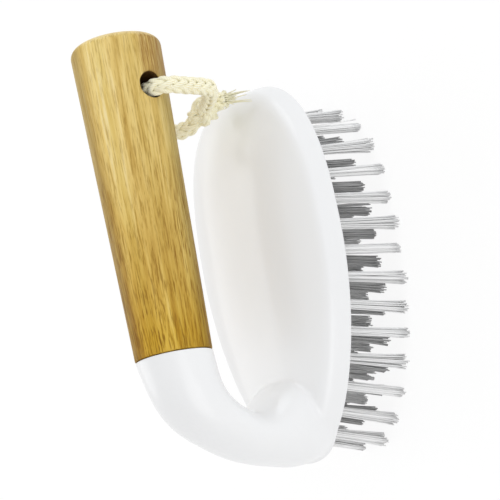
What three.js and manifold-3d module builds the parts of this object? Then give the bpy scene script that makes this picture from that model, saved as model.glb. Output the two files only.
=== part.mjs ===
// Scrub brush with an iron-style handle. A moulded head, domed on its back, sends up an arm from its
// heel. The arm bends forward and carries a bamboo grip over the head, with room for four fingers
// between them. A rope loop hangs from a hole across the grip's free end. The bristles are set in rows
// in a tuft plate, which closes the head from below.
//
// Millimetres, +Z up, +X from the heel to the tip. Heights are measured from the head's rim, and X from
// the widest place of the head, until the whole brush is lifted on to its bristles and centred.
import * as THREE from "three";
import { mergeGeometries, mergeVertices } from "three/addons/utils/BufferGeometryUtils.js";
import Module from "manifold-3d";

const wasm = await Module();
wasm.setup();

// Head: plan outline and back
const HEAD_WIDTH = 69.8;
const TIP_REACH = 61.4; // widest place to the tip
const HEEL_REACH = 75.4; // widest place to the heel
const TIP_FULLNESS = 2.67; // 2 is an ellipse, more is blunter
const HEEL_FULLNESS = 1.85;
const EDGE_ROUND = 0.9; // softened lower edge of the rim
const WALL_HEIGHT = 6.5; // side wall, from the rim to the shoulder
const WALL_LEAN = 2.4; // how far the side wall leans in
const SHOULDER_WIDTH = 3.1;
const SHOULDER_RISE = 2.7;
const DOME_RISE = 6.8; // from the shoulder to the crown
const DOME_FULLNESS = 2.2;
const SHELL_WALL = 3.2;
const RIM_WALL = 4.0; // at the rim's lower edge
const LEDGE_WIDTH = 3.4; // step inside the rim that the tuft plate seats on

// Arm: stations along its centre line, from the grip to the foot
const GRIP_HEIGHT = 55.8; // grip's axis above the rim, at the arm
const GRIP_RISE = 1.2; // degrees, from the arm to the free end
const JOINT_X = -36.2; // where the arm ends and the grip begins
const JOINT_RADIUS = 13.2;
const BEND = { x: -51.3, z: 51.3, thick: 23.0, wide: 24.6 };
const ELBOW = { x: -60.7, z: 40.6, thick: 17.6, wide: 23.6 };
const NECK = { x: -66.2, z: 25.0, thick: 16.8, wide: 25.0 };
const ANKLE = { x: -64.1, z: 17.0, thick: 26.2, wide: 28.0 };
const FOOT = { x: -61.8, z: 10.5, thick: 30.8, wide: 30.0 };
const SOLE_HEIGHT = 0.6; // lower end of the foot, in the heel wall
const SPIGOT_DIAMETER = 14.0; // moulded on the arm's end, inside the grip
const SPIGOT_LENGTH = 22.0;
const SPIGOT_CHAMFER = 1.2;

// Grip
const GRIP_LENGTH = 111.0;
const GRIP_END_RADIUS = 15.8;
const GRIP_END_ROUND = 3.4;
const GRIP_JOINT_CHAMFER = 0.5;
const ROPE_HOLE_DIAMETER = 9.2;
const ROPE_HOLE_FROM_END = 20.0;

// Tuft plate and bristles
const TRIM = 31.0; // bristles' reach below the rim
const BACKING_THICKNESS = 1.5;
const PLATE_THICKNESS = 3.6;
const TUFT_ROWS = 4; // three rings and a middle row
const TUFT_EDGE = 7.6; // outer row's distance from the rim's edge
const TUFT_TIP_EDGE = 13.8; // the same at the tip, where the head runs on past the bristles
const TUFT_FORWARD = 1.1; // rows are set this far towards the tip
const OUTER_PITCH = 9.45; // along the outer row
const TUFT_PITCH = 9.0; // along the rows inside it
const TUFT_DIAMETER = 3.6;
const TUFT_DEPTH = 2.3; // root of a tuft in the plate
const STRANDS = 5; // in a tuft
const STRAND_RADIUS = 0.55;
const SPLAY = 1.35; // tuft's spread at the tips
const FAN_LENGTHWISE = 0.085; // outward lean at the tips, as a share of the distance from the middle
const FAN_CROSSWISE = 0.145;

// Rope
const ROPE_DIAMETER = 5.6;
const ROPE_OUT = 20.2; // hanging strands' distance from the middle plane
const ROPE_LEAN = 0.9; // the rope lies this far towards the arm in its hole
const TAIL_DIAMETER = 5.2;
const KNOT_TURN = 3.0; // radius of the knot's turns, at the rope's centre

const SEAT = 0.3; // clearance between pieces that touch

const backingTop = SEAT + BACKING_THICKNESS;
const plateBottom = backingTop + SEAT;
const plateTop = plateBottom + PLATE_THICKNESS;
const ledge = plateTop + SEAT;
const domeInset = WALL_LEAN + SHOULDER_WIDTH;
const domeStart = WALL_HEIGHT + SHOULDER_RISE;
const crown = domeStart + DOME_RISE;

const glossWhite = new THREE.MeshStandardMaterial({ color: 0xf3f3f2, roughness: 0.28, metalness: 0 });
const plateWhite = new THREE.MeshStandardMaterial({ color: 0xf0f0ee, roughness: 0.45, metalness: 0 });
const bristleWhite = new THREE.MeshStandardMaterial({ color: 0xf4f4f4, roughness: 0.5, metalness: 0 });
const bamboo = new THREE.MeshStandardMaterial({ color: 0xc59a55, roughness: 0.45, metalness: 0 });
const cotton = new THREE.MeshStandardMaterial({ color: 0xe7dcc0, roughness: 0.9, metalness: 0 });

// Solids

function solid(geometry) {
  const bare = geometry.clone();
  bare.deleteAttribute("normal");
  bare.deleteAttribute("uv");
  const merged = mergeVertices(bare, 1e-4);
  return new wasm.Manifold(
    new wasm.Mesh({
      numProp: 3,
      vertProperties: merged.attributes.position.array,
      triVerts: new Uint32Array(merged.index.array),
    }),
  );
}

function geometryOf(manifold) {
  const mesh = manifold.getMesh();
  const geometry = new THREE.BufferGeometry();
  geometry.setAttribute("position", new THREE.BufferAttribute(mesh.vertProperties, 3));
  geometry.setIndex(new THREE.BufferAttribute(mesh.triVerts, 1));
  return geometry;
}

// Skin through closed rings of equal count, each counter-clockwise as seen from the last one, with flat ends.
function loft(rings) {
  const count = rings[0].length;
  const points = rings.flat();
  const index = [];
  for (let r = 0; r + 1 < rings.length; r++) {
    for (let i = 0; i < count; i++) {
      const a = r * count + i;
      const b = r * count + ((i + 1) % count);
      index.push(a, b, b + count, a, b + count, a + count);
    }
  }
  const last = (rings.length - 1) * count;
  for (let i = 1; i + 1 < count; i++) {
    index.push(0, i + 1, i);
    index.push(last, last + i, last + i + 1);
  }
  const geometry = new THREE.BufferGeometry().setFromPoints(points);
  geometry.setIndex(index);
  return geometry;
}

// Head outline

// A point of the head's outline, drawn in by an inset. The tip and the heel have their own bluntness, and
// the tip can be drawn in further than the rest.
function outlinePoint(angle, inset, z, share, tipInset) {
  const c = Math.cos(angle);
  const s = Math.sin(angle);
  const fullness = c >= 0 ? TIP_FULLNESS : HEEL_FULLNESS;
  const reach = c >= 0 ? TIP_REACH - tipInset : HEEL_REACH - inset;
  const x = reach * Math.sign(c) * Math.abs(c) ** (2 / fullness);
  const y = (HEAD_WIDTH / 2 - inset) * Math.sign(s) * Math.abs(s) ** (2 / fullness);
  return new THREE.Vector3(x * share, y * share, z);
}

function outlineRing(inset, z, share = 1, count = 52, tipInset = inset) {
  const ring = [];
  for (let i = 0; i < count; i++) {
    ring.push(outlinePoint((i * 2 * Math.PI) / count, inset, z, share, tipInset));
  }
  return ring;
}

const domeHeight = (share) => crown - DOME_RISE * share ** DOME_FULLNESS;

// The shoulder is one curve, tangent to the side wall below it and to the dome above it.
function shoulder() {
  const wallSlope = WALL_HEIGHT / WALL_LEAN;
  const domeSlope = (DOME_RISE * DOME_FULLNESS) / (HEAD_WIDTH / 2 - domeInset);
  const turn = (SHOULDER_RISE - SHOULDER_WIDTH * domeSlope) / (wallSlope - domeSlope);
  return new THREE.QuadraticBezierCurve(
    new THREE.Vector2(WALL_LEAN, WALL_HEIGHT),
    new THREE.Vector2(WALL_LEAN + turn, WALL_HEIGHT + turn * wallSlope),
    new THREE.Vector2(domeInset, domeStart),
  ).getPoints(4);
}

const backRings = [
  outlineRing(EDGE_ROUND * 0.8, 0),
  outlineRing(EDGE_ROUND * 0.1, EDGE_ROUND * 0.5),
  outlineRing((WALL_LEAN * EDGE_ROUND * 1.5) / WALL_HEIGHT, EDGE_ROUND * 1.5),
  ...shoulder().map((p) => outlineRing(p.x, p.y)),
  ...[0.91, 0.8, 0.66, 0.5, 0.33, 0.16, 0.04].map((f) => outlineRing(domeInset, domeHeight(f), f)),
];

// Arm

const gripRise = THREE.MathUtils.degToRad(GRIP_RISE);
const joint = { x: JOINT_X, z: GRIP_HEIGHT, thick: 2 * JOINT_RADIUS, wide: 2 * JOINT_RADIUS };
const sole = { x: FOOT.x, z: SOLE_HEIGHT, thick: 2 * (HEEL_REACH + FOOT.x), wide: FOOT.wide - 4 };
const stations = [joint, BEND, ELBOW, NECK, ANKLE, FOOT, sole];
const armLine = new THREE.CatmullRomCurve3(stations.map((s) => new THREE.Vector3(s.x, 0, s.z)));
const armSize = new THREE.CatmullRomCurve3(stations.map((s) => new THREE.Vector3(s.thick, s.wide, 0)));

function armRing(at, shrink = 0, back = 0, count = 28) {
  const centre = armLine.getPoint(at);
  const size = armSize.getPoint(at);
  const along = armLine.getTangent(at);
  along.lerp(new THREE.Vector3(-Math.cos(gripRise), 0, -Math.sin(gripRise)), Math.max(0, 1 - at * 10));
  along.lerp(new THREE.Vector3(0, 0, -1), Math.max(0, 1 - (1 - at) * 6)).normalize();
  const across = new THREE.Vector3(0, 1, 0);
  const normal = new THREE.Vector3().crossVectors(along, across);
  const ring = [];
  for (let i = 0; i < count; i++) {
    const q = (i * 2 * Math.PI) / count;
    ring.push(
      centre
        .clone()
        .addScaledVector(along, back)
        .addScaledVector(across, (size.y / 2 - shrink) * Math.cos(q))
        .addScaledVector(normal, (size.x / 2 - shrink) * Math.sin(q)),
    );
  }
  return ring;
}

const armRings = [armRing(0, GRIP_JOINT_CHAMFER), armRing(0, 0, GRIP_JOINT_CHAMFER)];
for (let i = 1; i <= 22; i++) {
  armRings.push(armRing(i / 22));
}

// Turned piece along +X, from profile points of distance along the axis and radius.
function turned(profile, segments) {
  const points = profile.map(([along, radius]) => new THREE.Vector2(radius, along));
  return new THREE.LatheGeometry(points, segments).rotateZ(-Math.PI / 2);
}

const spigot = turned(
  [
    [-JOINT_RADIUS / 2, 0],
    [-JOINT_RADIUS / 2, SPIGOT_DIAMETER / 2],
    [SPIGOT_LENGTH - SPIGOT_CHAMFER, SPIGOT_DIAMETER / 2],
    [SPIGOT_LENGTH, SPIGOT_DIAMETER / 2 - SPIGOT_CHAMFER],
    [SPIGOT_LENGTH, 0],
  ],
  24,
)
  .rotateY(-gripRise)
  .translate(JOINT_X, 0, GRIP_HEIGHT);

// The head is one moulding: back, arm and spigot, with a pocket for the plate and a hollow above its ledge.
const pocket = loft([outlineRing(RIM_WALL, -1), outlineRing(RIM_WALL, ledge)]);
const hollow = loft([
  outlineRing(RIM_WALL + LEDGE_WIDTH, ledge - 1),
  ...[0.92, 0.8, 0.64, 0.44, 0.2].map((f) => outlineRing(domeInset, domeHeight(f) - SHELL_WALL, f)),
]);
const headShell = solid(loft(backRings))
  .add(solid(loft(armRings)))
  .add(solid(spigot))
  .subtract(solid(pocket))
  .subtract(solid(hollow));

// Tufts

const rowPitch = (HEAD_WIDTH / 2 - TUFT_EDGE) / (TUFT_ROWS - 0.75);

// Outline of a row of tufts, or of a line between two rows.
function rowRing(row, z, count) {
  const inset = row * rowPitch;
  const ring = outlineRing(TUFT_EDGE + inset, z, 1, count, TUFT_TIP_EDGE + inset);
  return ring.map((p) => p.setX(p.x + TUFT_FORWARD));
}

// Even steps along a closed row, the same on both sides of the middle plane. The innermost ring has a tuft on
// that plane, and the others straddle it.
function ringRow(number) {
  const fine = rowRing(number, 0, 720);
  const reach = [0];
  for (let i = 0; i < fine.length; i++) {
    reach.push(reach[i] + fine[i].distanceTo(fine[(i + 1) % fine.length]));
  }
  const length = reach[fine.length];
  const pitch = number === 0 ? OUTER_PITCH : TUFT_PITCH;
  const count = 2 * Math.round(length / pitch / 2);
  const start = number + 2 < TUFT_ROWS ? 0.5 : 0;
  const row = [];
  for (let k = 0; k < count; k++) {
    const want = ((k + start) * length) / count;
    const i = reach.findIndex((r) => r > want) - 1;
    const share = (want - reach[i]) / (reach[i + 1] - reach[i]);
    row.push(fine[i].clone().lerp(fine[(i + 1) % fine.length], share));
  }
  return row;
}

function middleRow(number) {
  const from = TUFT_EDGE + number * rowPitch - HEEL_REACH + TUFT_FORWARD;
  const to = TIP_REACH - TUFT_TIP_EDGE - number * rowPitch + TUFT_FORWARD;
  const count = Math.round((to - from) / TUFT_PITCH) + 1;
  const row = [];
  for (let k = 0; k < count; k++) {
    row.push(new THREE.Vector3(from + ((to - from) * k) / (count - 1), 0, 0));
  }
  return row;
}

const rows = [];
for (let r = 0; r < TUFT_ROWS; r++) {
  rows.push(r + 1 < TUFT_ROWS ? ringRow(r) : middleRow(r));
}

// Upright prism of regular section round a point, as two rings.
function rootPrism(at, radius, bottom, top, sides) {
  return [bottom, top].map((z) => {
    const ring = [];
    for (let i = 0; i < sides; i++) {
      const q = (i * 2 * Math.PI) / sides;
      ring.push(new THREE.Vector3(at.x + radius * Math.cos(q), at.y + radius * Math.sin(q), z));
    }
    return ring;
  });
}

// One three-sided strand, from its flat tip up into the backing. Every tuft opens and leans by its own amount.
function strand(tuft, number, seed) {
  const turn = ((number + 0.37 * seed) * 2 * Math.PI) / STRANDS;
  const open = SPLAY * (1 + 0.25 * Math.sin(seed * 2.4));
  const reach = TUFT_DIAMETER / 2 - STRAND_RADIUS;
  const spot = (radius) => new THREE.Vector2(radius * Math.cos(turn), radius * Math.sin(turn));
  const root = spot(reach).add(new THREE.Vector2(tuft.x, tuft.y));
  const tip = spot(reach * open).add(
    new THREE.Vector2(
      tuft.x * (1 + FAN_LENGTHWISE) + 0.5 * Math.sin(seed * 1.7),
      tuft.y * (1 + FAN_CROSSWISE) + 0.4 * Math.sin(seed * 3.1),
    ),
  );
  return [
    [tip, -TRIM],
    [root, SEAT + BACKING_THICKNESS * 0.4],
  ].map(([p, z]) => {
    const ring = [];
    for (let i = 0; i < 3; i++) {
      const q = turn + (i * 2 * Math.PI) / 3;
      ring.push(new THREE.Vector3(p.x + STRAND_RADIUS * Math.cos(q), p.y + STRAND_RADIUS * Math.sin(q), z));
    }
    return ring;
  });
}

// A row of tufts with its own slice of the backing: the strands below it, the roots above it.
function bristleRow(number) {
  const gap = SEAT / 2 / rowPitch;
  const outer = (z) => (number === 0 ? outlineRing(RIM_WALL + SEAT, z) : rowRing(number - 0.5 + gap, z, 40));
  const inner = (z) => rowRing(number + 0.5 - gap, z, 40);
  let slice = solid(loft([outer(SEAT), outer(backingTop)]));
  if (number + 1 < TUFT_ROWS) {
    slice = slice.subtract(solid(loft([inner(SEAT - 1), inner(backingTop + 1)])));
  }
  const strands = [];
  const roots = [];
  rows[number].forEach((tuft, k) => {
    for (let i = 0; i < STRANDS; i++) {
      strands.push(loft(strand(tuft, i, k + 1 + 31 * number)));
    }
    const top = plateBottom + TUFT_DEPTH;
    roots.push(loft(rootPrism(tuft, TUFT_DIAMETER / 2, backingTop - BACKING_THICKNESS * 0.4, top, 5)));
  });
  return slice.add(solid(mergeGeometries(strands))).add(solid(mergeGeometries(roots)));
}

// Tuft plate, with a blind hole for each tuft's root.
const holes = rows.flat().map((tuft) =>
  loft(rootPrism(tuft, (TUFT_DIAMETER / 2 + SEAT) * 1.12, plateBottom - 1, plateBottom + TUFT_DEPTH + SEAT, 6)),
);
const tuftPlate = solid(
  loft([outlineRing(RIM_WALL + SEAT, plateBottom), outlineRing(RIM_WALL + SEAT, plateTop)]),
).subtract(solid(mergeGeometries(holes)));

// Grip: a tapered bamboo rod, bored for the spigot and drilled across for the rope.

const gripAxis = new THREE.Vector3(Math.cos(gripRise), 0, Math.sin(gripRise));
const gripStart = new THREE.Vector3(JOINT_X, 0, GRIP_HEIGHT).addScaledVector(gripAxis, SEAT);
const ropeHoleAt = gripStart.clone().addScaledVector(gripAxis, GRIP_LENGTH - ROPE_HOLE_FROM_END);
const endRound = [];
for (let i = 0; i <= 5; i++) {
  const q = (i * Math.PI) / 10;
  endRound.push([
    GRIP_LENGTH - GRIP_END_ROUND * (1 - Math.sin(q)),
    GRIP_END_RADIUS - GRIP_END_ROUND * (1 - Math.cos(q)),
  ]);
}
const gripRod = turned(
  [
    [0, 0],
    [0, JOINT_RADIUS - GRIP_JOINT_CHAMFER],
    [GRIP_JOINT_CHAMFER, JOINT_RADIUS],
    ...endRound,
    [GRIP_LENGTH, 0],
  ],
  40,
);
const socket = turned(
  [
    [-1, 0],
    [-1, SPIGOT_DIAMETER / 2 + SEAT],
    [SPIGOT_LENGTH, SPIGOT_DIAMETER / 2 + SEAT],
    [SPIGOT_LENGTH, 0],
  ],
  24,
);
const ropeHole = new THREE.CylinderGeometry(
  ROPE_HOLE_DIAMETER / 2,
  ROPE_HOLE_DIAMETER / 2,
  GRIP_END_RADIUS * 2 + 4,
  20,
).translate(GRIP_LENGTH - ROPE_HOLE_FROM_END, 0, 0);
const grip = solid(gripRod).subtract(solid(socket)).subtract(solid(ropeHole));

// Rope: a loop that lies in the grip's hole, tied in a knot below it, with two short tails. Its route is
// measured from the middle of the hole.

const ropeLow = -Math.sqrt(((ROPE_HOLE_DIAMETER - ROPE_DIAMETER) / 2 - SEAT) ** 2 - ROPE_LEAN ** 2);
const knotAt = new THREE.Vector3(-2.4, 0, -34.5);
const loopRoute = [
  knotAt.toArray(),
  [-1.9, -8, -30.5],
  [-1.2, -14.8, -26.4],
  [-1.1, -18.9, -22.2],
  [-1.2, -ROPE_OUT, -17],
  [-1.4, -ROPE_OUT, -11.5],
  [-1.4, -ROPE_OUT, ropeLow - 5.6],
  [-1.2, -18.6, ropeLow - 1.6],
  [-ROPE_LEAN, -14.7, ropeLow],
  [-ROPE_LEAN, -7, ropeLow],
  [-ROPE_LEAN, 7, ropeLow],
  [-ROPE_LEAN, 14.7, ropeLow],
  [-1.2, 18.6, ropeLow - 1.6],
  [-1.5, ROPE_OUT, ropeLow - 5.6],
  [-2.4, ROPE_OUT, -12],
  [-3.8, 19.8, -19],
  [-5.2, 17.2, -25],
  [-6.4, 12.4, -29.4],
  [-6.4, 6, -32.6],
  knotAt.toArray(),
];
const frontTail = [knotAt.toArray(), [0.2, -5, -38.6], [0.2, -10.5, -41.4], [1.2, -15.5, -43]];
const rearTail = [knotAt.toArray(), [-1.6, 2, -39.5], [-0.6, 1.6, -42.4], [0.6, 0.8, -45]];

function rope(route, diameter, steps) {
  const path = new THREE.CatmullRomCurve3(route.map((p) => new THREE.Vector3(...p)));
  const section = [];
  for (let i = 0; i < 10; i++) {
    const q = (i * 2 * Math.PI) / 10;
    section.push(new THREE.Vector2((diameter / 2) * Math.cos(q), (diameter / 2) * Math.sin(q)));
  }
  return new THREE.ExtrudeGeometry(new THREE.Shape(section), { steps, extrudePath: path, bevelEnabled: false });
}

const knotRoom = solid(
  new THREE.SphereGeometry(KNOT_TURN + ROPE_DIAMETER / 2 + SEAT, 20, 14).translate(...knotAt.toArray()),
);
const turns = [
  [0.5, 0, 0],
  [1.7, 0.5, 0],
  [1.1, 1.3, 0.4],
].map(([x, y, z]) =>
  solid(
    new THREE.TorusGeometry(KNOT_TURN, ROPE_DIAMETER / 2 - 0.05, 7, 12)
      .rotateX(x)
      .rotateY(y)
      .rotateZ(z)
      .translate(...knotAt.toArray()),
  ),
);
const knotCore = new THREE.SphereGeometry(KNOT_TURN, 10, 7).translate(...knotAt.toArray());
const knot = turns.reduce((all, next) => all.add(next), solid(knotCore));
const ropeLoop = solid(rope(loopRoute, ROPE_DIAMETER, 52)).subtract(knotRoom);
const ropeTails = [frontTail, rearTail].map((tail) => solid(rope(tail, TAIL_DIAMETER, 8)).subtract(knotRoom));

// Scene graph

function piece(name, manifold, material) {
  const mesh = new THREE.Mesh(geometryOf(manifold), material);
  mesh.name = name;
  return mesh;
}

const head = new THREE.Group();
head.add(piece("head_shell", headShell, glossWhite));
head.add(piece("tuft_plate", tuftPlate, plateWhite));
["bristles_outer", "bristles_second", "bristles_third", "bristles_middle"].forEach((name, number) => {
  head.add(piece(name, bristleRow(number), bristleWhite));
});

const gripPiece = piece("bamboo_grip", grip, bamboo);
gripPiece.position.copy(gripStart);
gripPiece.rotation.y = -gripRise;

const hangingRope = new THREE.Group();
hangingRope.position.copy(ropeHoleAt);
hangingRope.add(piece("rope_loop", ropeLoop, cotton));
hangingRope.add(piece("rope_knot", knot, cotton));
hangingRope.add(piece("rope_tail_front", ropeTails[0], cotton));
hangingRope.add(piece("rope_tail_rear", ropeTails[1], cotton));

const brush = new THREE.Group();
brush.add(head, gripPiece, hangingRope);

// Lift the brush on to its bristles and centre its length.
const box = new THREE.Box3().setFromObject(head).union(new THREE.Box3().setFromObject(gripPiece, true));
brush.position.set(-(box.min.x + box.max.x) / 2, 0, TRIM);

export default brush;
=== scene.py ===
"""Looks of the scrub brush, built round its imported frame: a smooth moulded head and arm, a turned bamboo grip,
tufts of fine filament and a plaited rope. Lengths are millimetres until a mesh is made; a mesh is in metres."""

import math

import bmesh
import bpy
import numpy as np
from mathutils import Matrix, Vector
from mathutils.bvhtree import BVHTree


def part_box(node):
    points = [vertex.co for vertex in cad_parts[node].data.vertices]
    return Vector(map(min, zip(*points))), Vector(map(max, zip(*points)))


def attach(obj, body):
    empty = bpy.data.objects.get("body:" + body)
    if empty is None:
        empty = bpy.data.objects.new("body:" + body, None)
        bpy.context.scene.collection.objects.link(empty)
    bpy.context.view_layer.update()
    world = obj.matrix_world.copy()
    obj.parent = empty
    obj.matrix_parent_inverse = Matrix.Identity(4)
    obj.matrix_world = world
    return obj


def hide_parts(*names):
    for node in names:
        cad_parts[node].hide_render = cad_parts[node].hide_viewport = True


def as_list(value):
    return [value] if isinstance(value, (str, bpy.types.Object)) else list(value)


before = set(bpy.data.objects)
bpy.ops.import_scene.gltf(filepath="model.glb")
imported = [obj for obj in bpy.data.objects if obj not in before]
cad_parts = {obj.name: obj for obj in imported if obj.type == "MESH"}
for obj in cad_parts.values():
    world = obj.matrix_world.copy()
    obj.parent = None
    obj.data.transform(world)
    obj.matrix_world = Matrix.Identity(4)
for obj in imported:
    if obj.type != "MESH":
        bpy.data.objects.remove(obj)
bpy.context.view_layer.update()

MM = 0.001
GOLDEN_TURN = 2.39996  # radians between neighbours of an evenly filled disc

# ---- Sizes of the brush, as in the solids

HEAD_WIDTH, TIP_REACH, HEEL_REACH = 69.8, 61.4, 75.4
TIP_FULLNESS, HEEL_FULLNESS = 2.67, 1.85
WALL_HEIGHT, WALL_LEAN = 6.5, 2.4
SHOULDER_WIDTH, SHOULDER_RISE = 3.1, 2.7
DOME_RISE, DOME_FULLNESS = 6.8, 2.2
RIM_WALL, LEDGE_WIDTH, LEDGE = 4.0, 3.4, 6.0
DOME_INSET = WALL_LEAN + SHOULDER_WIDTH
DOME_START = WALL_HEIGHT + SHOULDER_RISE
CROWN = DOME_START + DOME_RISE

GRIP_HEIGHT, JOINT_X, JOINT_RADIUS = 55.8, -36.2, 13.2
GRIP_RISE = math.radians(1.2)  # from the arm to the free end
ARM = np.array(  # x, z, thickness, width of the arm's stations, from the grip to the heel
    [
        (JOINT_X, GRIP_HEIGHT, 2 * JOINT_RADIUS, 2 * JOINT_RADIUS),
        (-51.3, 51.3, 23.0, 24.6),
        (-60.7, 40.6, 17.6, 23.6),
        (-66.2, 25.0, 16.8, 25.0),
        (-64.1, 17.0, 26.2, 28.0),
        (-61.8, 10.5, 30.8, 30.0),
        (-61.8, 0.6, 27.2, 26.0),
    ]
)
GRIP_LENGTH, GRIP_END_RADIUS, GRIP_END_ROUND = 111.0, 15.8, 3.4
HOLE_RADIUS, HOLE_FROM_END = 4.6, 20.0
SEAT = 0.3  # clearance between pieces that touch

TRIM, TUFT_EDGE, TUFT_TIP_EDGE, TUFT_FORWARD = 31.0, 7.6, 13.8, 1.1
OUTER_PITCH, TUFT_PITCH, TUFT_ROWS = 9.45, 9.0, 4
TUFT_RADIUS, SPLAY = 1.8, 1.35
FAN_LENGTHWISE, FAN_CROSSWISE = 0.085, 0.145
ROW_PITCH = (HEAD_WIDTH / 2 - TUFT_EDGE) / (TUFT_ROWS - 0.75)

ROPE, TAIL = 5.6, 5.2  # diameters

plate_tip = TIP_REACH - RIM_WALL - SEAT
SHIFT = np.array([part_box("tuft_plate")[1].x / MM - plate_tip, 0.0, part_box("head_shell")[0].z / MM])
GRIP_AXIS = np.array([math.cos(GRIP_RISE), 0.0, math.sin(GRIP_RISE)])
JOINT = np.array([JOINT_X, 0.0, GRIP_HEIGHT]) + SHIFT
HOLE = JOINT + GRIP_AXIS * (SEAT + GRIP_LENGTH - HOLE_FROM_END)


def in_place(points):
    """Points of the head's own frame, in metres of the brush's frame."""
    return (np.asarray(points, float) + SHIFT) * MM


# ---- Camera

VIEW_TARGET = Vector(in_place((1.585, 0.0, 12.2)))
VIEW_AZIMUTH, VIEW_ELEVATION, VIEW_ROLL = map(math.radians, (-16.7, 42.5, -89.1))
VIEW_DISTANCE, VIEW_LENS, VIEW_SENSOR = 0.642, 130.14, 36.0


def photo_camera():
    flat = math.cos(VIEW_ELEVATION)
    back = Vector((math.sin(VIEW_AZIMUTH) * flat, -math.cos(VIEW_AZIMUTH) * flat, math.sin(VIEW_ELEVATION)))
    level = (-back).cross(Vector((0, 0, 1))).normalized()
    rise = level.cross(-back)
    right = math.cos(VIEW_ROLL) * level + math.sin(VIEW_ROLL) * rise
    up = -math.sin(VIEW_ROLL) * level + math.cos(VIEW_ROLL) * rise
    data = bpy.data.cameras.new("photo_camera")
    data.lens, data.sensor_width, data.clip_start = VIEW_LENS, VIEW_SENSOR, 0.01
    camera = rough_object("photo_camera", data)
    turned = Matrix((right, up, back)).transposed().to_4x4()
    camera.matrix_world = Matrix.Translation(VIEW_TARGET + back * VIEW_DISTANCE) @ turned
    bpy.context.scene.camera = camera


# ---- Lines and skins


def smooth_line(points, steps=24):
    """The centripetal curve through the points, as the solids' own curves run."""
    p = np.asarray(points, float)
    p = np.vstack([2 * p[0] - p[1], p, 2 * p[-1] - p[-2]])
    out = []
    for i in range(len(p) - 3):
        p0, p1, p2, p3 = p[i : i + 4]
        d0, d1, d2 = (max(np.linalg.norm(b - a) ** 0.5, 1e-3) for a, b in ((p0, p1), (p1, p2), (p2, p3)))
        t1 = d1 * ((p1 - p0) / d0 - (p2 - p0) / (d0 + d1) + (p2 - p1) / d1)
        t2 = d1 * ((p2 - p1) / d1 - (p3 - p1) / (d1 + d2) + (p3 - p2) / d2)
        square, cube = -3 * p1 + 3 * p2 - 2 * t1 - t2, 2 * p1 - 2 * p2 + t1 + t2
        out += [p1 + t1 * t + square * t**2 + cube * t**3 for t in np.arange(steps) / steps]
    out.append(p[-2])
    return np.array(out)


def line_length(points):
    return float(np.linalg.norm(np.diff(points, axis=0), axis=1).sum())


def reaches(points):
    """Each point's distance along the line from its start."""
    return np.r_[0, np.cumsum(np.linalg.norm(np.diff(points, axis=0), axis=1))]


def at_reaches(columns, reach, want):
    """Rows of numbers known at some distances along a line, read off at others."""
    return np.stack([np.interp(want, reach, column) for column in columns.T], 1)


def even_steps(points, count):
    """The line's points again, count of them at even distances."""
    reach = reaches(points)
    return at_reaches(points, reach, np.linspace(0, reach[-1], count))


def full_turn(count):
    """Angles of count even steps round a circle."""
    return np.arange(count) * 2 * np.pi / count


def fade(value, none, full):
    """0 at none and 1 at full, in proportion between them."""
    return np.clip((value - none) / (full - none), 0, 1)


def unit(v):
    return v / np.maximum(np.linalg.norm(v, axis=-1, keepdims=True), 1e-9)


def carried_frames(line):
    """Tangents and two normals along a line, turning as little as they can."""
    tangent = unit(np.gradient(line, axis=0))
    side = np.cross(tangent[0], (0.31, 0.22, 0.93))
    sides = []
    for t in tangent:
        side = unit(side - t * (side @ t))
        sides.append(side)
    sides = np.array(sides)
    return tangent, sides, np.cross(tangent, sides)


def skin(rings):
    """Quads through rings of equal count, with the first and last ring filled."""
    count, verts, faces = len(rings[0]), np.concatenate(rings), []
    for a in range(0, len(verts) - count, count):
        b = a + count
        faces += [(a + i, a + (i + 1) % count, b + (i + 1) % count, b + i) for i in range(count)]
    faces.append(tuple(range(count - 1, -1, -1)))
    faces.append(tuple(range(len(verts) - count, len(verts))))
    return verts, faces


def opened(mesh):
    bm = bmesh.new()
    bm.from_mesh(mesh)
    return bm


def put_back(bm, mesh):
    bm.to_mesh(mesh)
    bm.free()
    mesh.shade_smooth()


def mesh_of(name, verts, faces, outward=True):
    mesh = bpy.data.meshes.new(name)
    mesh.from_pydata(np.asarray(verts, float).tolist(), [], faces)
    mesh.shade_smooth()
    if outward:
        bm = opened(mesh)
        bmesh.ops.recalc_face_normals(bm, faces=bm.faces)
        put_back(bm, mesh)
    return mesh


def rough_object(name, data):
    """An object of the scene that is no piece of the brush."""
    obj = bpy.data.objects.new(name, data)
    bpy.context.scene.collection.objects.link(obj)
    return obj


def add_piece(name, mesh, material, body, stands_for=()):
    """A finished mesh as a piece of the brush."""
    mesh.name = name
    mesh.materials.clear()
    mesh.materials.append(material)
    piece = rough_object(name, mesh)
    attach(piece, body)
    if stands_for:
        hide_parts(*stands_for)
    return piece


def settled_mesh(obj):
    """The object's mesh with its modifiers worked in. The object itself is taken away."""
    bpy.context.view_layer.update()
    graph = bpy.context.evaluated_depsgraph_get()
    mesh = bpy.data.meshes.new_from_object(obj.evaluated_get(graph))
    bpy.data.objects.remove(obj)
    return mesh


photo_camera()

# ---- Node trees


def rgba(colour):
    return (*colour, 1.0)


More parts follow.
